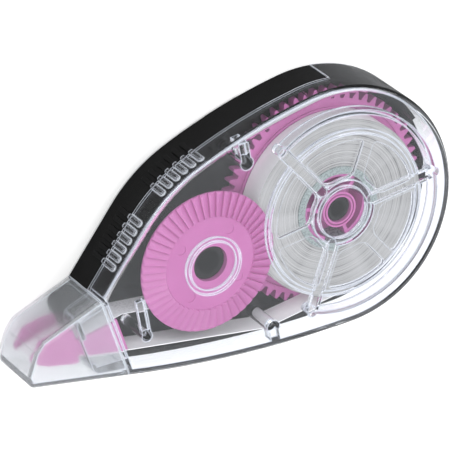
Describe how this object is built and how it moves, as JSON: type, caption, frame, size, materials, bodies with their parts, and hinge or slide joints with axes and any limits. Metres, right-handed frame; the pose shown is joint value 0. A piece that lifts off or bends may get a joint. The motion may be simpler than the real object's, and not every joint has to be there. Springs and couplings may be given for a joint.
{
  "type": "correction tape roller",
  "caption": "Teardrop correction tape dispenser with a clear front, black back, geared tape reels, a wedge-shaped tape head and a push-on cap.",
  "frame": {"origin": "under the middle of the whole object's bounding box, on the surface it lies on", "axes": "+X from the cap's tip to the round tail, +Y towards the ribbed grip side, +Z from the black back to the clear front"},
  "size_m": [0.0886, 0.0474, 0.0125],
  "materials": {
    "black_plastic": "polished, glossy black polystyrene",
    "clear_plastic": "polished crystal-clear polystyrene",
    "frosted_plastic": "frosted translucent polypropylene",
    "pink_plastic": "satin moulded pink plastic",
    "smoke_plastic": "translucent grey moulded plastic",
    "white_tape": "white correction coating wound edge-on",
    "liner_film": "thin grey translucent release liner"
  },
  "bodies": {
    "housing": {"rear_case": "black_plastic", "front_cover": "clear_plastic", "tape_head": "pink_plastic", "fresh_tape_run": "white_tape", "spent_liner_run": "liner_film"},
    "cap": {"cap": "frosted_plastic"},
    "supply_gear": {"supply_gear": "pink_plastic"},
    "supply_spool": {"spool_core": "smoke_plastic", "tape_roll": "white_tape"},
    "take_up": {"take_up_gear": "pink_plastic", "take_up_wheel": "pink_plastic", "liner_winding": "liner_film"}
  },
  "joints": [
    {"name": "supply_gear_spin", "type": "hinge", "parent": "housing", "child": "supply_gear", "pos_m": [0.0219, -0.00147, 0.0025], "axis": [0, 0, 1], "continuous": true},
    {"name": "clutch_slip", "type": "hinge", "parent": "supply_gear", "child": "supply_spool", "pos_m": [0.0219, -0.00147, 0.0061], "axis": [0, 0, 1], "continuous": true},
    {"name": "take_up_spin", "type": "hinge", "parent": "housing", "child": "take_up", "pos_m": [-0.00514, -0.00044, 0.0025], "axis": [0, 0, 1], "continuous": true},
    {"name": "cap_pull", "type": "slide", "parent": "housing", "child": "cap", "axis": [-0.9905, -0.1376, 0], "range_m": [0, 0.025]}
  ],
  "couplings": [
    {"joint": "supply_gear_spin", "follows": "take_up_spin", "ratio": -0.36667}
  ]
}
